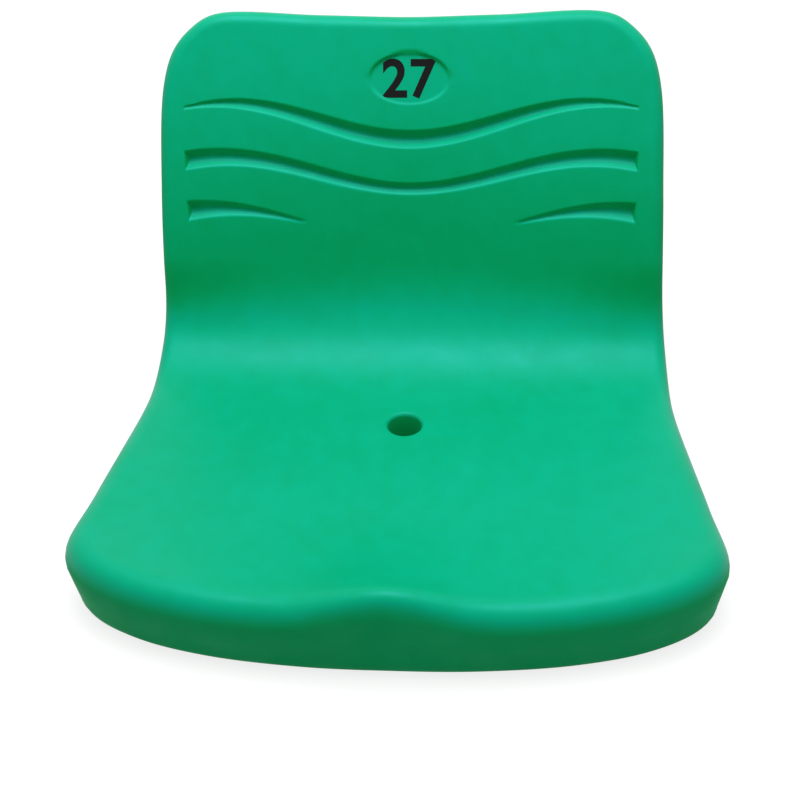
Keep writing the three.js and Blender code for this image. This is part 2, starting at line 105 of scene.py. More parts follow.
# %% [markdown]
# ## Small helpers
#
# Operators act on everything that is selected, so each step starts from a clean selection. These helpers
# pick objects, pick parts of a mesh by a rule, run operators on them, apply a modifier, and settle an
# object's place into its mesh.

# %% Selection and modifier helpers
def deselect():
    bpy.ops.object.select_all(action="DESELECT")


def only(*objects):
    """Makes these objects the only selected ones, and the first active."""
    deselect()
    for obj in objects:
        obj.select_set(True)
    bpy.context.view_layer.objects.active = objects[0]


def pick(obj, kind, rule):
    """Selects the edges or faces of a mesh for which the rule holds, and nothing else."""
    mesh = obj.data
    for items in (mesh.vertices, mesh.edges, mesh.polygons):
        items.foreach_set("select", np.zeros(len(items), bool))
    bpy.context.tool_settings.mesh_select_mode = (False, kind == "EDGE", kind == "FACE")
    chosen = [item for item in {"EDGE": mesh.edges, "FACE": mesh.polygons}[kind] if rule(item)]
    for item in chosen:
        item.select = True
    return len(chosen)


def edit(obj, *steps, whole=False):
    """Runs operators in edit mode, on what is picked or on the whole mesh."""
    only(obj)
    bpy.ops.object.mode_set(mode="EDIT")
    if whole:
        bpy.ops.mesh.select_all(action="SELECT")
    for step in steps:
        step()
    bpy.ops.object.mode_set(mode="OBJECT")


def apply_modifier(obj, kind, **settings):
    """Adds a modifier with these settings and applies it."""
    only(obj)
    modifier = obj.modifiers.new(kind.lower(), kind)
    for key, value in settings.items():
        setattr(modifier, key, value)
    bpy.ops.object.modifier_apply(modifier=modifier.name)


def settle(obj):
    """Puts an object's place into its mesh, so that the object itself sits at the origin."""
    only(obj)
    bpy.ops.object.transform_apply(location=True, rotation=True, scale=True)
    return obj


deselect()
print(len(bpy.context.selected_objects), "objects selected")

# %% [markdown]
# ## The shell's form
#
# A blow-moulded seat is one bag of plastic, blown against two mould halves. Its sitting face is easiest to
# draw as a flat blank that is then bent: u runs across, and s runs back from the front edge, round the bend
# and up the back. Box modelling with a subdivision surface would give a seat of this kind, but not this
# one's exact bend, so the bend is written as three angles that pass into each other along s.

# %% Bend of the sitting face
sheet_length = 528.4 * mm
top_edge_dip = 5.8 * mm
top_middle = sheet_length - top_edge_dip
pan_angle, back_angle, top_angle = -2, 77, 61
bend_start = 217 * mm
bend_end = 350 * mm
front_edge_height = 50.5 * mm


def ramp(value, start, end):
    """A soft step from 0 at the start to 1 at the end, level at both."""
    x = np.clip((value - start) / (end - start), 0, 1)
    return x * x * (3 - 2 * x)


line_step = 0.25 * mm
line_s = np.arange(-40 * mm, sheet_length + 40 * mm, line_step)


def surface_angle(s):
    """Angle of the sitting face to the floor at each s."""
    bend = ramp(s, bend_start, bend_end)
    curl = ramp(s, bend_end, top_middle)
    return np.radians(pan_angle + (back_angle - pan_angle) * bend + (top_angle - back_angle) * curl)


def trace(direction):
    """Adds up the centre line's steps, starting from the front edge."""
    steps = direction(surface_angle(line_s[:-1] + line_step / 2)) * line_step
    line = np.concatenate([[0], np.cumsum(steps)])
    return line - np.interp(0, line_s, line)


line_y = trace(np.cos)
line_z = trace(np.sin)


def place(u, s, height):
    """Points of the seat, height being measured square to the centre line."""
    angle = surface_angle(s)
    y = np.interp(s, line_s, line_y) - height * np.sin(angle)
    z = np.interp(s, line_s, line_z) + height * np.cos(angle) + front_edge_height
    return np.stack([u, y, z], axis=-1)


print("the centre line ends at y and z", round(float(line_y[-1]), 3), round(float(line_z[-1]), 3))

# %% Dish and lip of the sitting face
dish_reach = 200 * mm
dish_power = 2.4
pan_dish, bend_dish, back_dish, top_dish = 6.5 * mm, 3 * mm, 18 * mm, 7 * mm
dish_lead = 80 * mm
lip_run = 102 * mm
lip_raise = 9.8 * mm
pommel_raise = 20 * mm
pommel_spread = 45 * mm


def lift(u, s):
    """Rise of the sitting face above the plain bent sheet: dished sides, and a lip in front."""
    bend_middle = (bend_start + bend_end) / 2
    dish = pan_dish + (bend_dish - pan_dish) * ramp(s, bend_start - dish_lead, bend_middle)
    dish = dish + (back_dish - bend_dish) * ramp(s, bend_middle, bend_end)
    dish = dish + (top_dish - back_dish) * ramp(s, bend_end, top_middle)
    lip = np.clip(1 - s / lip_run, 0, None) ** 2
    pommel = np.exp(-((u / pommel_spread) ** 2))
    return dish * (np.abs(u) / dish_reach) ** dish_power + lip * (lip_raise + pommel_raise * pommel)


print("rise in the middle of the front edge", round(float(lift(0, 0)) * 1000, 1), "mm")

# %% [markdown]
# ## The outline
#
# The outline of the blank is a closed curve: a full, round front, a waist at the bend and two round top
# corners. It could be a Bezier curve drawn by hand. Here a smooth curve is passed through a few worked-out
# points, because that also gives the direction in which the rim turns over.

# %% Outline of the blank
seat_half_width = 216.7 * mm
top_half_width = 177.9 * mm
front_corner_length = 78 * mm
front_corner_power = 2.32
top_corner_radius = 53 * mm
top_corner_power = 1.85
side_shares = [(0.1, 0.79), (0.215, 0.6), (0.355, 0.39), (0.495, 0.32), (0.634, 0.21), (0.812, 0.12)]


def corner_shares(degrees, power):
    """Shares of a round corner's width and length at angles round it."""
    return [(math.cos(a) ** (2 / power), math.sin(a) ** (2 / power)) for a in np.radians(degrees)]


def outline_knots():
    """Points of the right half of the outline, front to top."""
    knots = [(0, 0)]
    for across, up in corner_shares([78, 60, 42, 24, 8], front_corner_power):
        knots.append((seat_half_width * across, front_corner_length * (1 - up)))
    corner_start = sheet_length - top_corner_radius
    for up, out in side_shares:
        u = top_half_width + (seat_half_width - top_half_width) * out
        knots.append((u, front_corner_length + (corner_start - front_corner_length) * up))
    corner_centre = top_half_width - top_corner_radius
    for across, up in corner_shares([0, 30, 50, 70], top_corner_power):
        knots.append((corner_centre + top_corner_radius * across, corner_start + top_corner_radius * up))
    knots += [(corner_centre / 2, sheet_length - 0.75 * top_edge_dip), (0, top_middle)]
    return knots


right_half = outline_knots()
print(len(right_half), "points on the right half")

# %% Smooth curve through the points
def through(knots, steps):
    """A closed Catmull-Rom curve through the knots, with this many steps between two of them."""
    curve = []
    for i in range(len(knots)):
        p = [np.array(knots[(i + k - 1) % len(knots)]) for k in range(4)]
        t = np.concatenate([[0], np.cumsum([np.linalg.norm(p[k + 1] - p[k]) ** 0.5 for k in range(3)])])
        x = np.linspace(t[1], t[2], steps, endpoint=False)[:, None]

        def blend(a, b, low, high):
            return a + (b - a) * (x - t[low]) / (t[high] - t[low])

        first, second, third = (blend(p[k], p[k + 1], k, k + 1) for k in range(3))
        curve.append(blend(blend(first, second, 0, 2), blend(second, third, 1, 3), 1, 2))
    return np.vstack(curve)


left_half = [(-u, s) for u, s in reversed(right_half[1:-1])]
curve_steps = 60
rough = through(right_half + left_half, curve_steps)
rough_length = np.concatenate([[0], np.cumsum(np.linalg.norm(np.roll(rough, -1, 0) - rough, axis=1))])
print("outline", round(float(rough_length[-1]), 3), "m round")

# %% Even points, and the way inwards
outline_count = 4000
even = np.linspace(0, rough_length[-1], outline_count, endpoint=False)
closed = np.vstack([rough, rough[:1]])
outline = np.stack([np.interp(even, rough_length, closed[:, k]) for k in (0, 1)], axis=-1)

ease_length = 5 * mm
ease_points = np.arange(-60, 61)
weights = np.exp(-0.5 * (ease_points * rough_length[-1] / outline_count / ease_length) ** 2)
weights /= weights.sum()
outline = sum(w * np.roll(outline, -k, axis=0) for w, k in zip(weights, ease_points))
along = np.roll(outline, -1, 0) - np.roll(outline, 1, 0)
along /= np.linalg.norm(along, axis=1)[:, None]
inward = np.stack([-along[:, 1], along[:, 0]], axis=-1)
print("outline of", outline_count, "points")

# %% [markdown]
# ## Rim and thickness
#
# The two faces of the shell meet in a rim that is deep in front, where the thighs press on it, and slim at
# the back. Its upper edge is a large round, because the mould has to let go of it, and its walls lean by a
# few degrees for the same reason.

# %% Depth of the rim
pan_thickness = 30 * mm
back_thickness = 24 * mm
rim_depth_front = 50 * mm
rim_depth_side = 34 * mm
lower_round = 10.5 * mm
front_round, back_round = 17.5 * mm, 9 * mm
draft_share = 0.09
rim_land = 8 * mm
side_stretch = 60 * mm, 240 * mm
back_stretch = 240 * mm, 440 * mm
round_stretch = 80 * mm, 280 * mm
under_stretch = 150 * mm, 300 * mm


def rim_depth(s):
    side = (rim_depth_side - rim_depth_front) * ramp(s, *side_stretch)
    back = (back_thickness - rim_depth_side) * ramp(s, *back_stretch)
    return rim_depth_front + side + back


def panel_thickness(s):
    return pan_thickness + (back_thickness - pan_thickness) * ramp(s, *back_stretch)


def top_round(s):
    return front_round + (back_round - front_round) * ramp(s, *round_stretch)


def under_follow(s):
    """The underside stays level in front, and follows the sitting face at the back."""
    return ramp(s, *under_stretch)


def rim_height(u, s, rim_s, depth):
    """Height of a rim point: the lift fades out down the rim, so that its lower edge is level."""
    level = (1 - under_follow(s)) * ramp(depth, 0, rim_depth(rim_s))
    return lift(u, s) * (1 - level) - depth


inner_edge = outline + inward * top_round(outline[:, 1])[:, None]
print("rim depths, front to top", [round(float(rim_depth(s)) * 1000) for s in (0, 0.24, 0.5)], "mm")

# %% [markdown]
# ## Waves and oval
#
# Three waves are pressed into the back, and an oval for the seat number. They could be cut with booleans,
# but the real ones have a finely rounded edge and a soft bottom, so they are a depth that is taken off the
# sitting face. Both walls of a wave are steepest at its edge. Under a lamp overhead the upper one is dark
# and the lower one bright.

# %% Depth of the waves
wave_reach = 163 * mm
wave_depth = 5.6 * mm
wave_end_run = 1.8 * mm
upper_wall_power, lower_wall_power = 2.5, 2
upper_edge_sharpness, lower_edge_sharpness = 8, 14
valley_round = 0.03
waves = [
    dict(station=436.4 * mm, rise=26 * mm, crest=132.4 * mm, start=0, width=(6.1 * mm, 1 * mm), power=2.1),
    dict(station=400.4 * mm, rise=23.9 * mm, crest=137 * mm, start=0, width=(4.1 * mm, 6.4 * mm), power=1.3),
    dict(station=360.9 * mm, rise=26 * mm, crest=145 * mm, start=78 * mm, width=(1 * mm, 7 * mm), power=1),
]


def wave_relief(wave, u, s):
    """Depth of a wave, which is nothing outside it. Its half width changes from its start to its end."""
    distance = np.abs(u)
    middle = wave["station"] + wave["rise"] * (1 - np.cos(np.pi * distance / wave["crest"])) / 2
    share = np.clip((distance - wave["start"]) / (wave_reach - wave["start"]), 0, 1)
    first, last = wave["width"]
    half_width = first + (last - first) * share ** wave["power"]
    across = (s - middle) / half_width
    power = np.where(across > 0, upper_wall_power, lower_wall_power)
    sharpness = np.where(across > 0, upper_edge_sharpness, lower_edge_sharpness)
    walls = [1 - np.hypot(across, valley_round) ** power, (wave_reach - distance) / wave_end_run]
    if wave["start"]:
        walls.append((distance - wave["start"]) / wave_end_run)
    least = -np.log(sum(np.exp(-sharpness * np.clip(wall, -3, 3)) for wall in walls)) / sharpness
    shape = np.log1p(np.exp(sharpness * least)) / sharpness
    return wave_depth * half_width / max(first, last) * shape


# %% Depth of the oval
oval_s = 479.3 * mm
oval_half_width = 29.4 * mm
oval_half_height = 18.6 * mm
oval_depth = 1.8 * mm
oval_tilt = math.radians(2.4)
oval_wall_run = 1.8 * mm
oval_angle = float(surface_angle(oval_s))
oval_up = np.array([0, math.cos(oval_angle), math.sin(oval_angle)])
oval_out = np.array([0, -math.sin(oval_angle), math.cos(oval_angle)])
oval_normal = oval_out * math.cos(oval_tilt) + oval_up * math.sin(oval_tilt)
oval_centre = place(0, oval_s, -oval_depth)


def oval_height(u, s):
    """Height of the oval's flat floor over the bent sheet."""
    angle = surface_angle(s)
    square = np.stack([np.zeros_like(u), -np.sin(angle), np.cos(angle)], axis=-1)
    return ((oval_centre - place(u, s, 0 * u)) @ oval_normal) / (square @ oval_normal)


def sitting_height(u, s):
    """Height of the finished sitting face, with its waves and its oval."""
    height = lift(u, s)
    for wave in waves:
        height = height - wave_relief(wave, u, s)
    angle = np.arctan2((s - oval_s) / oval_half_height, u / oval_half_width)
    edge = np.hypot(oval_half_width * np.cos(angle), oval_half_height * np.sin(angle))
    inside = edge - np.hypot(u, s - oval_s)
    wall = ramp(inside, 0, oval_wall_run)
    return height + (oval_height(u, s) - height) * wall


print("waves", [round(wave["station"] * 1000) for wave in waves], "mm up the blank")
print("oval", round(oval_s * 1000), "mm up it")

# %% [markdown]
# ## The sitting face
#
# The face starts as a flat grid, as a sheet of card would. Its rows and columns are drawn closer together
# where the waves and the oval are, so that their edges stay crisp, and wider on the plain pan. Then every
# point is moved to its place on the bent and dished blank.

# %% Spacing of the grid
def spaced(stretches):
    """Numbers from 0 to 1 along stretches, each given by where it ends and by its step, in metres."""
    points = [0.0]
    for end, step in stretches:
        count = max(1, round((end - points[-1]) / step))
        points += list(points[-1] + (end - points[-1]) * np.arange(1, count + 1) / count)
    return np.array(points) / points[-1]


inner_u, inner_s = inner_edge.T
half = outline_count // 2
heading = np.arctan2(along[:half, 1], along[:half, 0])
front_corner = int(np.argmax(heading > math.radians(45)))
top_corner = int(np.argmax(heading > math.radians(135)))
corner_s = inner_s[front_corner], inner_s[top_corner]

row_share = spaced([
    (85 * mm, 3.4 * mm), (144 * mm, 5 * mm), (188 * mm, 2.4 * mm), (290 * mm, 3.6 * mm),
    (433 * mm, 0.8 * mm), (corner_s[1] - corner_s[0], 2 * mm),
])
column_share = spaced([
    (30 * mm, 1.2 * mm), (157 * mm, 2.9 * mm), (171 * mm, 0.6 * mm), (177 * mm, 2 * mm),
])
column_share = np.concatenate([-column_share[:0:-1], column_share])
rows = len(row_share)
columns = len(column_share)
print(rows, "rows and", columns, "columns")

# %% Read and move a mesh's points
def mesh_values(items, key, width=1, kind=np.float32):
    """A table of one value of every vertex, edge or other item of a mesh."""
    table = np.zeros(len(items) * width, kind)
    items.foreach_get(key, table)
    return table.reshape(-1, width) if width > 1 else table


def points_of(obj):
    return mesh_values(obj.data.vertices, "co", 3).astype(float)


def move_points(obj, points):
    """Puts every point of a mesh where this table says."""
    obj.data.vertices.foreach_set("co", points.astype(np.float32).ravel())
    obj.data.update()

# %% Add the grid and mould it
def on_edge(first, last, key, value):
    """Position round the right half of the outline where a coordinate of the inner edge has a value."""
    keys = inner_edge[first:last, key]
    order = np.argsort(keys)
    return np.interp(value, keys[order], first + order)


def at(table, position):
    """Value of a table of the outline at a position between its points."""
    low = np.floor(position).astype(int)
    share = (position - low)[..., None]
    return table[low % outline_count] * (1 - share) + table[(low + 1) % outline_count] * share


deselect()
bpy.ops.mesh.primitive_grid_add(x_subdivisions=columns - 1, y_subdivisions=rows - 1, size=1)
shell = bpy.context.object
shell.name = "shell"

flat = points_of(shell)
column = np.rint((flat[:, 0] + 0.5) * (columns - 1)).astype(int)
row = np.rint((flat[:, 1] + 0.5) * (rows - 1)).astype(int)
across_share = column_share[column]
up_share = row_share[row]

side_s = corner_s[0] + up_share * (corner_s[1] - corner_s[0])
side_place = on_edge(front_corner, top_corner + 1, 1, side_s)
width = at(inner_edge, side_place)[:, 0]
front_u = np.abs(across_share) * inner_u[front_corner]
top_u = np.abs(across_share) * inner_u[top_corner]
front_place = on_edge(0, front_corner + 1, 0, front_u)
top_place = on_edge(top_corner, half + 1, 0, top_u)
front_s = at(inner_edge, front_place)[:, 1]
top_s = at(inner_edge, top_place)[:, 1]
u = across_share * width
s = side_s + (1 - up_share) * (front_s - corner_s[0]) + up_share * (top_s - corner_s[1])
move_points(shell, place(u, s, sitting_height(u, s)))
print("sitting face with", len(shell.data.polygons), "faces")

# %% [markdown]
# ## The rim
#
# The rim is extruded from the border of the face, ring by ring, as a maker would pull a sheet's edge down.
# Each border point keeps its position round the outline in an attribute, which extruding copies, so every
# new ring knows where it belongs. The first rings turn the round edge over, the next run down the wall with
# its faint parting line, and the last turn under and close the underside.

# %% Mark the border
around = np.full(len(across_share), -1.0)
right_side = across_share > 0
for border, position in (
    (row == 0, front_place),
    (row == rows - 1, top_place),
    (np.abs(across_share) == 1, side_place),
):
    around[border] = np.where(right_side, position, (outline_count - position) % outline_count)[border]


def mark_points(values):
    """Gives every point of the shell a value that extruding copies."""
    marks = shell.data.attributes.new("around", "FLOAT", "POINT")
    marks.data.foreach_set("value", values.astype(np.float32))


def pull_ring(points_at):
    """Extrudes the selected ring and puts its points where points_at says for their values."""
    edit(shell, bpy.ops.mesh.extrude_edges_move)
    chosen = mesh_values(shell.data.vertices, "select", kind=bool)
    values = mesh_values(shell.data.attributes["around"].data, "value").astype(float)
    points = points_of(shell)
    points[chosen] = points_at(values[chosen])
    move_points(shell, points)


mark_points(around)
print("border of", int((around >= 0).sum()), "points")

# %% Rings of the rim
seam_height = 0.03 * mm
seam_half_width = 0.7 * mm
inner_wall_run = 3 * mm
inner_wall_share = 0.35


def rim_ring(inset, depth):
    """A ring on the rim, from its inset and depth at each station."""
    def points_at(position):
        edge = at(outline, position)
        rim_s = edge[:, 1]
        inner = edge + at(inward, position) * inset(rim_s)[:, None]
        return place(inner[:, 0], inner[:, 1], rim_height(inner[:, 0], inner[:, 1], rim_s, depth(rim_s)))
    return points_at


def draft(s):
    return draft_share * rim_depth(s)


def rim_rings():
    rings = []
    for angle in np.radians(np.arange(80, -1, -10)):
        rings.append(rim_ring(
            lambda s, k=angle: top_round(s) * (1 - math.cos(k)),
            lambda s, k=angle: top_round(s) * (1 - math.sin(k)),
        ))
    low = lambda s: rim_depth(s) - lower_round
    seam = lambda s: (top_round(s) + low(s)) / 2
    lean = lambda s, depth: draft(s) * (depth - top_round(s)) / (low(s) - top_round(s))
    for offset, out in ((-1, 0), (-0.5, 0.7), (0, 1), (0.5, 0.7), (1, 0)):
        rings.append(rim_ring(
            lambda s, o=offset, h=out: lean(s, seam(s) + o * seam_half_width) - h * seam_height,
            lambda s, o=offset: seam(s) + o * seam_half_width,
        ))
    for angle in np.radians(np.arange(0, 91, 15)):
        rings.append(rim_ring(
            lambda s, k=angle: draft(s) + lower_round * (1 - math.cos(k)),
            lambda s, k=angle: low(s) + lower_round * math.sin(k),
        ))
    rings.append(rim_ring(lambda s: draft(s) + lower_round + rim_land, rim_depth))
    return rings


edge_ends = mesh_values(shell.data.edges, "vertices", 2, int)
sides = row == 0, row == rows - 1, column == 0, column == columns - 1
on_border = np.any([side[edge_ends].all(axis=1) for side in sides], axis=0)
pick(shell, "EDGE", lambda edge: on_border[edge.index])
for ring in rim_rings():
    pull_ring(ring)
print("rim pulled:", len(shell.data.polygons), "faces")

# %% Close the underside
spine_stretch = 150 * mm, 500 * mm


def clean(obj, distance):
    """Merges points that are closer than this, and turns every face outwards."""
    edit(
        obj,
        lambda: bpy.ops.mesh.remove_doubles(threshold=distance),
        lambda: bpy.ops.mesh.normals_make_consistent(inside=False),
        whole=True,
    )


def under_ring(share):
    """A ring of the underside, drawn in by a share towards the line down its middle."""
    def points_at(position):
        edge = at(outline, position)
        rim_s = edge[:, 1]
        inset = draft(rim_s) + lower_round + rim_land + inner_wall_run
        inset = inset + inner_wall_share * (rim_depth(rim_s) - panel_thickness(rim_s))
        inner = edge + at(inward, position) * inset[:, None]
        spine_s = np.clip(rim_s, *spine_stretch)
        u = inner[:, 0] * share
        s = spine_s + (inner[:, 1] - spine_s) * share
        return place(u, s, under_follow(s) * lift(u, s) - panel_thickness(s))
    return points_at


for share in (1, 0.97, 0.9, 0.78, 0.64, 0.5, 0.35, 0.2, 0.08, 0):
    pull_ring(under_ring(share))
clean(shell, 0.02 * mm)
edit(
    shell,
    lambda: bpy.ops.mesh.bisect(plane_co=(0, 0, 0), plane_no=(0, 0, 1), clear_inner=True, use_fill=True),
    whole=True,
)
shell.data.attributes.remove(shell.data.attributes["around"])
print("closed shell:", len(shell.data.polygons), "faces")

# %% [markdown]
# ## The drain
#
# Rain runs off the pan through a hole whose upper edge is rounded over. A boolean would leave a ragged edge
# there, since the round runs out flat into the pan. So a block of faces is deleted, and the gap's border is
# extruded inwards in circles: across the pan, over the edge, and down the passage. A boolean opens the
# plain lower end later.

# %% Drain from the border of a gap in the pan
drain_s = 199.7 * mm
drain_radius = 12 * mm
drain_edge_round = 3 * mm
drain_lower_radius = 10.5 * mm
drain_block = 21 * mm
drain_apron = 3 * mm
passage_depth = 21 * mm
passage_taper = 0.8 * (drain_lower_radius - drain_radius)

points = points_of(shell)
drain_middle = place(0, drain_s, 0)
near_drain = np.abs(points - drain_middle).max(axis=1) < drain_block
removed = pick(shell, "FACE", lambda face: near_drain[list(face.vertices)].all())
edit(shell, lambda: bpy.ops.mesh.delete(type="FACE"))
faces_beside = np.bincount(mesh_values(shell.data.loops, "edge_index", kind=int))
pick(shell, "EDGE", lambda edge: faces_beside[edge.index] == 1)
points = points_of(shell)
mark_points(np.arctan2(points[:, 1] - drain_middle[1], points[:, 0]))


def drain_ring(radius, depth):
    """A ring of the drain. Outside the hole it follows the pan, and it levels out as it goes down."""
    def points_at(angle):
        u = radius * np.cos(angle)
        s = drain_s + radius * np.sin(angle)
        return place(u, s, sitting_height(u, s) - depth)
    return points_at


pull_ring(drain_ring(drain_radius + drain_edge_round + drain_apron, 0))
for angle in np.radians(np.arange(0, 91, 15)):
    out = drain_edge_round * (1 - math.sin(angle))
    pull_ring(drain_ring(drain_radius + out, drain_edge_round * (1 - math.cos(angle))))
for share in (0.3, 0.65, 1):
    pull_ring(drain_ring(drain_radius + passage_taper * share, drain_edge_round + passage_depth * share))
edit(shell, bpy.ops.mesh.edge_face_add)
shell.data.attributes.remove(shell.data.attributes["around"])
print("drain of", round(drain_radius * 2000), "mm made;", removed, "faces made room for it")

# %% [markdown]
# ## Turned pieces
#
# Pads, bores, the plug and the inserts are all turned shapes. Such a shape can be spun from a profile. Here
# a disc is extruded upwards, ring by ring, and each new ring is scaled to its radius, which is easy to
# follow by hand.

# %% Turned piece from rings
def turned(name, rings, segments=64):
    """A turned piece from (radius, height) rings: a disc that is extruded and scaled, ring by ring."""
    radius, height = rings[0]
    deselect()
    bpy.ops.mesh.primitive_circle_add(
        vertices=segments, radius=radius, fill_type="NGON", location=(0, 0, height),
    )
    obj = settle(bpy.context.object)
    obj.name = name
    bpy.ops.object.mode_set(mode="EDIT")
    bpy.context.tool_settings.mesh_select_mode = (False, False, True)
    bpy.ops.mesh.select_all(action="SELECT")
    for new_radius, new_height in rings[1:]:
        bpy.ops.mesh.extrude_region_move(TRANSFORM_OT_translate={"value": (0, 0, new_height - height)})
        scale = new_radius / radius
        bpy.ops.transform.resize(value=(scale, scale, 1), center_override=(0, 0, new_height))
        radius, height = new_radius, new_height
    bpy.ops.mesh.select_all(action="SELECT")
    bpy.ops.mesh.normals_make_consistent(inside=False)
    bpy.ops.object.mode_set(mode="OBJECT")
    return obj


def copied(obj, name, x, y, z=0):
    """A copy of a piece with a mesh of its own, moved to its place."""
    twin = obj.copy()
    twin.data = obj.data.copy()
    twin.name = name
    twin.data.name = name
    bpy.context.scene.collection.objects.link(twin)
    twin.location = (x, y, z)
    return settle(twin)


def joined(objects, name):
    only(*objects)
    bpy.ops.object.join()
    objects[0].name = name
    return objects[0]


def combine(obj, tool, operation):
    """Joins a tool to a piece, cuts it out or keeps what they share, and deletes the tool."""
    apply_modifier(obj, "BOOLEAN", object=tool, operation=operation, solver="MANIFOLD")
    bpy.data.objects.remove(tool)

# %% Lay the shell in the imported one's box
made_y = points_of(shell)[:, 1]
y_shift = 0.5 * (shell_low[1] + shell_high[1]) - 0.5 * (made_y.min() + made_y.max())
shell.location = (0, y_shift, 0)
settle(shell)
print("shell moved by", round(y_shift * 1000, 2), "mm, to lie in the packed one's box")

# %% [markdown]
# ## Pads and feet
#
# The seat is fastened at four round pads, each with a shallow seat for its washer, and two feet hold up the
# back of the pan. They are moulded in one with the shell, so they are made as separate solids and joined by
# a boolean.

# %% Pad
fixing_places = {}
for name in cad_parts:
    if name.startswith("insert_"):
        low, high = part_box(name)
        fixing_places[name.removeprefix("insert_")] = (0.5 * (low[0] + high[0]), 0.5 * (low[1] + high[1]))
insert_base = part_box("insert_front_left")[0][2]
insert_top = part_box("insert_front_left")[1][2]

pad_radius = 25 * mm
pad_height = 12 * mm
pad_edge = 1.5 * mm
washer_seat = 15 * mm
inside_shell = 26 * mm
pad_rings = [(washer_seat, insert_base), (washer_seat + 0.3 * mm, pad_height)]
for angle in map(math.radians, (90, 60, 30, 0)):
    inset, rise = pad_edge * (1 - math.cos(angle)), pad_edge * (1 - math.sin(angle))
    pad_rings.append((pad_radius - inset, pad_height + rise))
pad_rings.append((pad_radius, inside_shell))
pad = turned("pad", pad_rings)
print("pad of", round(pad_radius * 2000), "mm at", len(fixing_places), "fixings")

# %% Feet, joined with the pads to the shell
foot_spacing = 220 * mm
foot_middle_y = 250 * mm + y_shift
foot_length, foot_width, foot_height = 60 * mm, 34 * mm, 30 * mm
foot_corner, foot_edge = 12 * mm, 2 * mm


def make_foot():
    """A block with round corners and a rounded tread."""
    deselect()
    bpy.ops.mesh.primitive_cube_add(size=1, location=(0, 0, foot_height / 2))
    foot = bpy.context.object
    foot.scale = (foot_length, foot_width, foot_height)
    settle(foot)

    def end_heights(edge):
        return [foot.data.vertices[i].co.z for i in edge.vertices]

    pick(foot, "EDGE", lambda edge: max(end_heights(edge)) - min(end_heights(edge)) > foot_height / 2)
    edit(foot, lambda: bpy.ops.mesh.bevel(offset=foot_corner, segments=10))
    pick(foot, "EDGE", lambda edge: max(end_heights(edge)) < mm)
    edit(foot, lambda: bpy.ops.mesh.bevel(offset=foot_edge, segments=4))
    return foot


def at_fixings(master, name, z=0):
    """Copies a piece to every fixing, and deletes the piece itself."""
    twins = [copied(master, name + key, x, y, z) for key, (x, y) in fixing_places.items()]
    bpy.data.objects.remove(master)
    return twins


additions = at_fixings(pad, "pad_")
foot = make_foot()
additions += [copied(foot, "foot", side * foot_spacing / 2, foot_middle_y) for side in (-1, 1)]
bpy.data.objects.remove(foot)
combine(shell, joined(additions, "additions"), "UNION")
print("shell with pads and feet:", len(shell.data.polygons), "faces")

# %% Bores, drain outlet and blow hole
pan_tilt = math.radians(pan_angle)
blow_s = 132.1 * mm
blow_radius = 5 * mm
bore_radius = 6.8 * mm
outlet_flare = 3 * mm


def on_underside(obj, s):
    """Stands an upright piece square on the pan's underside, at a station of the centre line."""
    obj.rotation_euler = (pan_tilt, 0, 0)
    obj.location = place(0, s, -pan_thickness) + (0, y_shift, 0)
    return settle(obj)


bore = turned("bore", [(bore_radius, 0), (bore_radius, insert_top + 0.3 * mm)])
outlet = turned("outlet", [
    (drain_lower_radius + outlet_flare, -outlet_flare), (drain_lower_radius, 0), (10.6 * mm, 8 * mm),
], 94)
blow_hole = turned("blow_hole", [
    (blow_radius + 0.6 * mm, -0.6 * mm), (blow_radius, 0.1 * mm), (blow_radius, 15 * mm),
], 48)
cutters = at_fixings(bore, "bore_") + [on_underside(outlet, drain_s), on_underside(blow_hole, blow_s)]
combine(shell, joined(cutters, "cutters"), "DIFFERENCE")
print("shell with its holes:", len(shell.data.polygons), "faces")

# %% Shade the shell
def shade(obj, degrees):
    """Shades a piece smooth, apart from its edges that are sharper than this."""
    only(obj)
    bpy.ops.object.shade_smooth_by_angle(angle=math.radians(degrees))


shade(shell, 50)
shell.data.calc_loop_triangles()
print("shell:", len(shell.data.loop_triangles), "triangles")
print("it measures", [round(v * 1000, 2) for v in np.ptp(points_of(shell), axis=0)], "mm")

# %% [markdown]
# ## Washers and spring washers
#
# A flat washer is a short cylinder with a hole. Its caps are inset and the two inner faces bridged, which
# makes the bore without a boolean, and a bevel rounds the stamped edges. A spring washer is a bar wound
# once, so the bar's end face is spun about the axis and stops short of a full turn.

# %% Flat washer
thread_clear = 4.3 * mm


def round_edges(obj, width, segments):
    """Rounds the stamped edges of a washer, and shades it."""
    sharp = math.radians(50)
    apply_modifier(obj, "BEVEL", width=width, segments=segments, limit_method="ANGLE", angle_limit=sharp)
    shade(obj, 35)


def make_washer():
    low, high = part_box("washer_front_left")
    radius, thickness = 0.5 * (high[0] - low[0]), high[2] - low[2]
    middle = (0, 0, thickness / 2)
    deselect()
    bpy.ops.mesh.primitive_cylinder_add(vertices=64, radius=radius, depth=thickness, location=middle)
    washer = settle(bpy.context.object)
    pick(washer, "FACE", lambda face: abs(face.normal.z) > 0.99)
    edit(
        washer,
        lambda: bpy.ops.mesh.inset(thickness=radius - thread_clear, use_individual=True),
        bpy.ops.mesh.bridge_edge_loops,
    )
    round_edges(washer, 0.22 * mm, 3)
    return washer


def spread(master, kind):
    """Puts a copy of a piece at each fixing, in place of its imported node."""
    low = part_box(kind + "_front_left")[0][2]
    copies = at_fixings(master, kind + "_piece_", low)
    for key, twin in zip(fixing_places, copies):
        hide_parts(f"{kind}_{key}")
    print(kind, "made", len(copies), "times,", len(copies[0].data.polygons), "faces each")
    return copies


washers = spread(make_washer(), "washer")

# %% Spring washer
spring_gap = 1.6 * mm


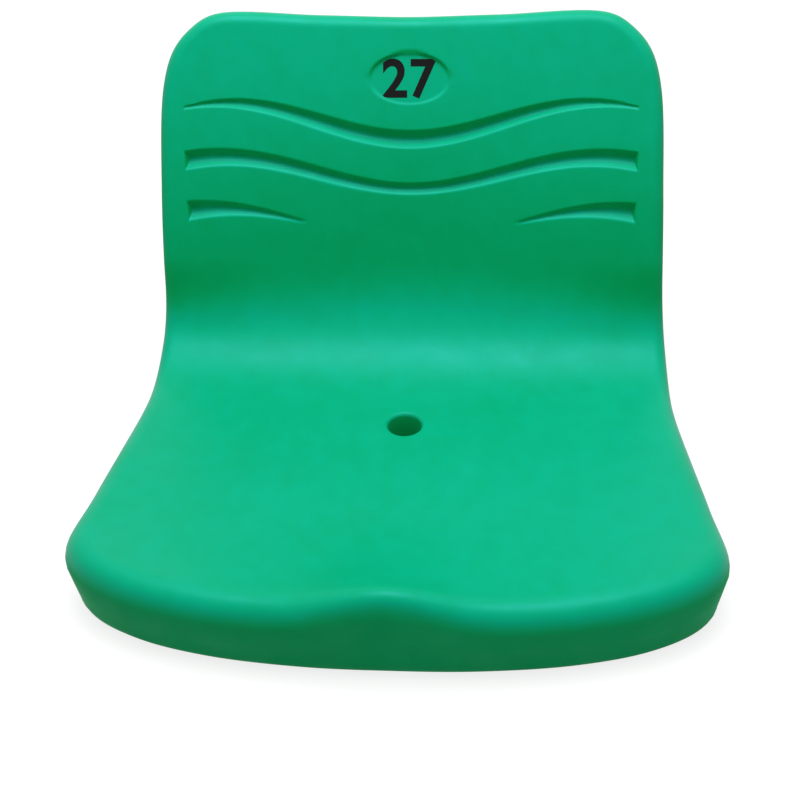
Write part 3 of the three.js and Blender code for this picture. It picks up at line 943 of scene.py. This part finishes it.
def make_spring_washer():
    low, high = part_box("spring_washer_front_left")
    radius, thickness = 0.5 * (high[0] - low[0]), high[2] - low[2]
    gap = spring_gap / radius
    width = radius - thread_clear
    middle = (thread_clear + width / 2, 0, thickness / 2)
    deselect()
    bpy.ops.mesh.primitive_plane_add(size=1, location=middle, rotation=(math.pi / 2, 0, 0))
    spring = bpy.context.object
    spring.scale = (width, thickness, 1)
    settle(spring)
    edit(
        spring,
        lambda: bpy.ops.mesh.spin(steps=60, angle=2 * math.pi - gap, center=(0, 0, 0), axis=(0, 0, 1)),
        whole=True,
    )
    clean(spring, 0.01 * mm)
    round_edges(spring, 0.2 * mm, 2)
    return spring


spring_washers = spread(make_spring_washer(), "spring_washer")

# %% [markdown]
# ## Screws
#
# The head is a six-sided cylinder whose corners are turned off on a cone, so a cone-shaped solid is
# intersected with it. The thread is a ridge wound up the shank: a small triangle is screwed upwards, which
# costs few faces.

# %% Hexagon screw
pitch = 1.25 * mm
shank_radius = 4 * mm
core = 3.4 * mm
ridge_top = 3.98 * mm
head_gap = 0.3 * mm


def make_bolt():
    low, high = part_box("bolt_front_left")
    head_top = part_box("spring_washer_front_left")[0][2] - head_gap - low[2]
    across_flats = high[0] - low[0]
    corner = across_flats / math.sqrt(3)
    length = high[2] - low[2]
    middle = (0, 0, head_top / 2)
    deselect()
    bpy.ops.mesh.primitive_cylinder_add(vertices=6, radius=corner, depth=head_top, location=middle)
    bolt = settle(bpy.context.object)
    edit(bolt, lambda: bpy.ops.mesh.subdivide(number_cuts=7), whole=True)
    flat = across_flats / 2
    cone = turned("cone", [
        (flat, 0), (flat + 1.4 * mm, 0.9 * mm),
        (flat + 1.4 * mm, head_top - 0.1 * mm), (flat + 0.9 * mm, head_top),
    ], 96)
    combine(bolt, cone, "INTERSECT")
    shank = turned("shank", [
        (shank_radius, head_top - 1 * mm), (shank_radius, head_top + 1.2 * mm), (core, head_top + 1.8 * mm),
        (core, length - 0.7 * mm), (core - 0.7 * mm, length),
    ], 32)
    combine(bolt, shank, "UNION")
    start = head_top + 1.9 * mm
    deselect()
    bpy.ops.mesh.primitive_circle_add(
        vertices=3, radius=pitch * 0.46, fill_type="NGON",
        location=(core + 0.1 * mm, 0, start), rotation=(math.pi / 2, math.pi / 2, 0),
    )
    ridge = settle(bpy.context.object)
    points = points_of(ridge)
    points[:, 0] = np.where(points[:, 0] > core + 0.2 * mm, ridge_top, core - 0.15 * mm)
    move_points(ridge, points)
    turns = int((length - 1.6 * mm - start) / pitch)
    steps = 20 * turns
    apply_modifier(
        ridge, "SCREW", axis="Z", angle=2 * math.pi * turns, screw_offset=pitch * turns,
        steps=steps, render_steps=steps,
    )
    clean(ridge, 0.005 * mm)
    bolt = joined([bolt, ridge], "bolt")
    shade(bolt, 28)
    return bolt


bolts = spread(make_bolt(), "bolt")

# %% [markdown]
# ## Inserts and plug
#
# The brass inserts sit in the mould before the plastic is blown round them, and a knurl and a groove hold
# them there. The plug closes the hole that the blowing needle left. Both are turned shapes, the knurl being
# every second rib of the turned wall drawn in.

# %% Threaded insert
groove_width = 4 * mm
groove_depth = 0.8 * mm
knurls = 36
knurl_depth = 0.3 * mm


def make_insert():
    low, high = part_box("insert_front_left")
    radius, length = 0.5 * (high[0] - low[0]), high[2] - low[2]
    groove_low = (length - groove_width) / 2
    groove_high = groove_low + groove_width
    neck = radius - groove_depth
    insert = turned("insert", [
        (thread_clear, 0), (radius - 0.3 * mm, 0), (radius, 0.3 * mm),
        (radius, groove_low), (neck, groove_low + groove_depth),
        (neck, groove_high - groove_depth), (radius, groove_high),
        (radius, length - 0.5 * mm), (radius - 0.5 * mm, length),
    ], 2 * knurls)
    bore = turned("bore", [
        (thread_clear, -1 * mm), (thread_clear, length - 3 * mm), (1 * mm, length - 2 * mm),
    ], 48)
    combine(insert, bore, "DIFFERENCE")
    points = points_of(insert)
    out = np.hypot(points[:, 0], points[:, 1])
    turn = np.arctan2(points[:, 1], points[:, 0]) / (2 * math.pi)
    drawn = (np.rint(turn * 2 * knurls) % 2 == 1) & (out > radius - 0.1 * mm)
    points[drawn, :2] *= (1 - knurl_depth / out[drawn])[:, None]
    move_points(insert, points)
    shade(insert, 25)
    return insert


inserts = spread(make_insert(), "insert")

# %% Blow hole plug
def make_plug():
    """A flat head and a hollow stem, whose ridge snaps in behind the wall."""
    stem = blow_radius - 0.3 * mm
    head_low = -2.1 * mm
    plug = turned("plug_piece", [
        (1.6 * mm, head_low + 0.35 * mm), (2.6 * mm, head_low), (7.2 * mm, head_low),
        (7.6 * mm, head_low + 0.12 * mm), (7.9 * mm, head_low + 0.42 * mm), (8 * mm, head_low + 0.8 * mm),
        (8 * mm, -0.4 * mm), (7.9 * mm, -0.3 * mm), (stem, -0.3 * mm), (stem, 3.8 * mm),
        (blow_radius + 0.5 * mm, 3.9 * mm), (stem, 5 * mm), (stem, 8.6 * mm), (stem - 0.4 * mm, 9 * mm),
        (2.6 * mm, 9 * mm), (2.6 * mm, 0),
    ])
    shade(plug, 40)
    on_underside(plug, blow_s)
    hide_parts("blow_hole_plug")
    return plug


plug = make_plug()
print("plug with", len(plug.data.polygons), "faces")

# %% [markdown]
# ## The seat number
#
# The number is printed in the oval in black. A decal could be an image, but two digits of plain type stay
# sharp at any distance, so they are a text object that is turned into a mesh and laid on the oval's flat
# floor, as thick as a coat of ink.

# %% Print the number
ink_height = 0.05 * mm
ink_gap = 0.01 * mm
deselect()
bpy.ops.object.text_add()
text = bpy.context.object.data
text.body = "27"
text.size = 37 * mm
text.align_x = text.align_y = "CENTER"
text.offset = 0.9 * mm
text.space_character = 1.06
text.extrude = ink_height / 2
text.resolution_u = 8
bpy.ops.object.convert(target="MESH")
number = bpy.context.object
number.name = number.data.name = "seat_number"
middle = 0.5 * (points_of(number).min(0) + points_of(number).max(0))
number.data.transform(Matrix.Translation(-Vector(middle)))
number_place = oval_centre + (0, y_shift, 0) + oval_normal * (ink_height / 2 + ink_gap)
number_up = Vector((0, oval_normal[2], -oval_normal[1]))
number_axes = Matrix((Vector((1, 0, 0)), number_up, Vector(oval_normal))).transposed()
number.matrix_world = Matrix.LocRotScale(Vector(number_place), number_axes, None)
settle(number)
print("number", [round(v * 1000, 1) for v in np.ptp(points_of(number), axis=0)], "mm")

# %% [markdown]
# ## Moulded plastic
#
# The shell is polyethylene with its colour all through. Its skin is satin: it has the mould's fine grain, a
# slow waviness from shrinking, and faint streaks where the plastic was drawn further. The walls keep the
# mould's matt skin, and the faces that look up are polished by clothes. So the height of the surface's
# normal mixes two roughnesses and two pairs of colours: a deep, less blue green on the walls, and a bluer
# one on the faces that look up, which is a painted sheen where the lamp falls on them. The reflections are
# bluish too, which a tint on the specular gives.

# %% Helpers for node materials
class Nodes:
    """The nodes of a material or a world, with short ways to add and link them."""

    def __init__(self, owner, shader="Principled BSDF"):
        owner.use_nodes = True
        self.tree = owner.node_tree
        self.shader = self.tree.nodes[shader]

    def add(self, kind, inputs=(), **settings):
        node = self.tree.nodes.new("ShaderNode" + kind)
        for key, value in settings.items():
            setattr(node, key, value)
        for key, value in dict(inputs).items():
            if isinstance(value, bpy.types.NodeSocket):
                self.tree.links.new(value, node.inputs[key])
            else:
                node.inputs[key].default_value = value
        return node

    def link(self, output, key):
        self.tree.links.new(output, self.shader.inputs[key])

    def set(self, **values):
        for key, value in values.items():
            self.shader.inputs[key.replace("_", " ")].default_value = value

    def noise(self, coordinates, scale, detail=2.0, roughness=0.5):
        inputs = {"Vector": coordinates, "Scale": scale, "Detail": detail, "Roughness": roughness}
        return self.add("TexNoise", inputs).outputs["Fac"]

    def span(self, value, low, high, from_low=0.0, from_high=1.0):
        inputs = {"Value": value, "From Min": from_low, "From Max": from_high, "To Min": low, "To Max": high}
        return self.add("MapRange", inputs).outputs["Result"]

    def mix(self, share, first, second):
        """Mixes two colours, which are inputs 6 and 7 of the node."""
        return self.add("Mix", {0: share, 6: first, 7: second}, data_type="RGBA").outputs[2]

    def math(self, operation, a, b):
        return self.add("Math", {0: a, 1: b}, operation=operation).outputs["Value"]

    def bump(self, height, distance, strength=1.0, normal=None):
        inputs = {"Height": height, "Distance": distance, "Strength": strength}
        if normal:
            inputs["Normal"] = normal
        return self.add("Bump", inputs).outputs["Normal"]

    def seen(self):
        """1 where a thing is seen directly, in a reflection or through something clear, else 0."""
        rays = self.add("LightPath").outputs
        direct = self.math("MAXIMUM", rays["Is Camera Ray"], rays["Is Glossy Ray"])
        return self.math("MAXIMUM", direct, rays["Is Transmission Ray"])


def paint(pieces, material):
    """Gives pieces their only material."""
    for piece in pieces:
        piece.data.materials.clear()
        piece.data.materials.append(material)


def colour(red, green, blue):
    """A colour in the shader's linear values, from its values on screen."""
    def linear(value):
        value /= 255
        return value / 12.92 if value <= 0.04045 else ((value + 0.055) / 1.055) ** 2.4
    return linear(red), linear(green), linear(blue), 1


print("a mid grey on screen is", round(colour(128, 128, 128)[0], 3), "in the shader")

# %% Shell plastic
wall_end, face_start = 0.12, 0.5


def moulded_plastic(name, wall, face, wall_roughness, face_roughness):
    """Satin plastic: a pair of colours for its walls, and a bluer pair, a painted sheen, for faces that look
    up.
    """
    material = bpy.data.materials.new(name)
    nodes = Nodes(material)
    coordinates = nodes.add("TexCoord")
    place_at = coordinates.outputs["Object"]
    upward = nodes.add("SeparateXYZ", {"Vector": coordinates.outputs["Normal"]}).outputs["Z"]
    # Share of the surface that looks up: it paints a bluish sheen on those faces and makes them smoother.
    wear_and_painted_sheen = nodes.span(upward, 0, 1, wall_end, face_start)
    drawn = nodes.add("Mapping", {"Vector": place_at, "Scale": (1, 0.8, 0.8)}).outputs["Vector"]
    streaks = nodes.math("MULTIPLY", nodes.noise(drawn, 75, detail=3), 0.5)
    cloud = nodes.math("MULTIPLY", nodes.noise(place_at, 9, detail=2), 0.5)
    tone = nodes.span(nodes.math("ADD", streaks, cloud), 0, 1, 0.32, 0.68)
    nodes.link(nodes.mix(wear_and_painted_sheen, nodes.mix(tone, *wall), nodes.mix(tone, *face)), "Base Color")
    patches = nodes.span(nodes.noise(place_at, 35, detail=4), -0.05, 0.06, 0.3, 0.7)
    skin = nodes.span(wear_and_painted_sheen, wall_roughness, face_roughness)
    nodes.link(nodes.math("ADD", skin, patches), "Roughness")
    grain = nodes.noise(place_at, 2600, detail=2, roughness=0.6)
    waviness = nodes.noise(place_at, 42, detail=1)
    rough = nodes.bump(grain, 0.00004, 0.35)
    nodes.link(nodes.bump(waviness, 0.00035, 0.5, rough), "Normal")
    nodes.set(Specular_IOR_Level=0.36, IOR=1.5, Specular_Tint=(0.14, 0.6, 1.0, 1))
    return material


# The faces' pair is bluer than the walls' pair: a painted sheen where the lamp falls on faces that look up.
shell_walls = colour(0, 166, 88), colour(0, 173, 99)
shell_faces_painted_sheen = colour(0, 158, 109), colour(0, 165, 124)
shell_material = moulded_plastic("satin_green_plastic", shell_walls, shell_faces_painted_sheen, 0.7, 0.45)
paint([shell], shell_material)
print("material", shell_material.name, "with", len(shell_material.node_tree.nodes), "nodes")

# %% Plug plastic, zinc and brass
plug_colours = colour(3, 120, 74), colour(4, 132, 84)
plug_material = moulded_plastic("dark_green_plastic", plug_colours, plug_colours, 0.55, 0.5)


def plated_metal(name, base, wear_and_painted_sheen, roughness, turning):
    """Metal with a crystalline plating, worn in patches, and fine turning marks."""
    material = bpy.data.materials.new(name)
    nodes = Nodes(material)
    place_at = nodes.add("TexCoord").outputs["Object"]
    patches = nodes.noise(place_at, 420, detail=4, roughness=0.6)
    nodes.link(nodes.mix(nodes.span(patches, 0, 1, 0.35, 0.65), base, wear_and_painted_sheen), "Base Color")
    nodes.link(nodes.span(patches, roughness - 0.07, roughness + 0.1, 0.3, 0.7), "Roughness")
    stripes = {"Vector": place_at, "Scale": turning, "Distortion": 1.5}
    marks = nodes.add("TexWave", stripes, bands_direction="Z").outputs["Fac"]
    crystals = nodes.bump(patches, 0.00002, 0.5)
    nodes.link(nodes.bump(marks, 0.00001, 0.4, crystals), "Normal")
    nodes.set(Metallic=1.0)
    return material


zinc_material = plated_metal("zinc_plating", colour(196, 200, 204), colour(168, 172, 176), 0.3, 600)
brass_material = plated_metal("turned_brass", colour(206, 172, 96), colour(180, 146, 76), 0.32, 900)
paint([plug], plug_material)
paint(washers + spring_washers + bolts, zinc_material)
paint(inserts, brass_material)
print("metals:", zinc_material.name, "and", brass_material.name)

# %% Ink of the number
def print_ink():
    material = bpy.data.materials.new("black_print")
    nodes = Nodes(material)
    place_at = nodes.add("TexCoord").outputs["Object"]
    thin = nodes.noise(place_at, 700, detail=5, roughness=0.65)
    ink = nodes.mix(nodes.span(thin, 0, 1, 0.62, 0.72), colour(8, 8, 8), colour(9, 24, 18))
    nodes.link(ink, "Base Color")
    nodes.link(nodes.span(thin, 0.55, 0.7), "Roughness")
    nodes.link(nodes.bump(thin, 0.00002, 0.3), "Normal")
    nodes.set(Specular_IOR_Level=0.12)
    return material


paint([number], print_ink())
print("materials:", [material.name for material in bpy.data.materials])

# %% [markdown]
# ## Floor, light and world
#
# The studio is a pale floor and one large soft lamp overhead, in a white room that lights the rest. The
# floor and the room are brighter where they are seen directly, in a reflection or through something clear,
# so that they show white, and the floor keeps the seat's shadow. The floor is clear from below, so that it
# doesn't hide the underside.

# %% Floor
floor_glow = 0.8
deselect()
bpy.ops.mesh.primitive_plane_add(size=12, location=(0, 0, -0.1 * mm))
floor = settle(bpy.context.object)
floor.name = "studio_floor"
floor_material = bpy.data.materials.new("studio_floor")
nodes = Nodes(floor_material)
nodes.set(Base_Color=colour(135, 135, 135), Roughness=0.9, Specular_IOR_Level=0.1)
nodes.set(Emission_Color=(1, 1, 1, 1))
nodes.link(nodes.math("MULTIPLY", nodes.seen(), floor_glow), "Emission Strength")
underneath = nodes.add("NewGeometry").outputs["Backfacing"]
clear = nodes.add("BsdfTransparent").outputs["BSDF"]
either = nodes.add("MixShader", {0: underneath, 1: nodes.shader.outputs["BSDF"], 2: clear})
nodes.tree.links.new(either.outputs["Shader"], nodes.tree.nodes["Material Output"].inputs["Surface"])
paint([floor], floor_material)
floor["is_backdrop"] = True
print("floor shows at a strength of", floor_glow)

# %% Lamp overhead
light = bpy.data.lights.new("key_lamp", "AREA")
light.shape = "RECTANGLE"
light.size, light.size_y = 1.0, 0.8
light.energy = 25
key_lamp = bpy.data.objects.new("key_lamp", light)
key_lamp.location = (0, 0, 1.6)
lamp_aim = Vector((0, 0.03, 0.1))
key_lamp.rotation_euler = (lamp_aim - key_lamp.location).to_track_quat("-Z", "Y").to_euler()
bpy.context.scene.collection.objects.link(key_lamp)
print("lamp of", light.energy, "watts")

# %% White room
room_fill, room_seen = 0.4, 1.0
world = bpy.data.worlds.new("studio")
bpy.context.scene.world = world
nodes = Nodes(world, "Background")
nodes.link(nodes.span(nodes.seen(), room_fill, room_seen), "Strength")
nodes.set(Color=(1, 1, 1, 1))
bpy.context.scene.view_settings.view_transform = "Standard"
print("the room lights the seat at", room_fill, "and shows at", room_seen)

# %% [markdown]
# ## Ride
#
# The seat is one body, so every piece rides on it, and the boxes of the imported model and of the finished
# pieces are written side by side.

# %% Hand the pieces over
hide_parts("seat_shell")
shell.data.name = "shell"
for pieces, slot in (
    ([shell], "shell_plastic"),
    ([plug], "plug_plastic"),
    (inserts, "insert_brass"),
    (washers + spring_washers + bolts, "zinc_steel"),
):
    for piece in pieces:
        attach(piece, "root")
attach(number, "root")
new_box = [list(corner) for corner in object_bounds()]
for name, box in (("packed", cad_box), ("finished", new_box)):
    print(name, "box", [[round(v * 1000, 1) for v in corner] for corner in box])
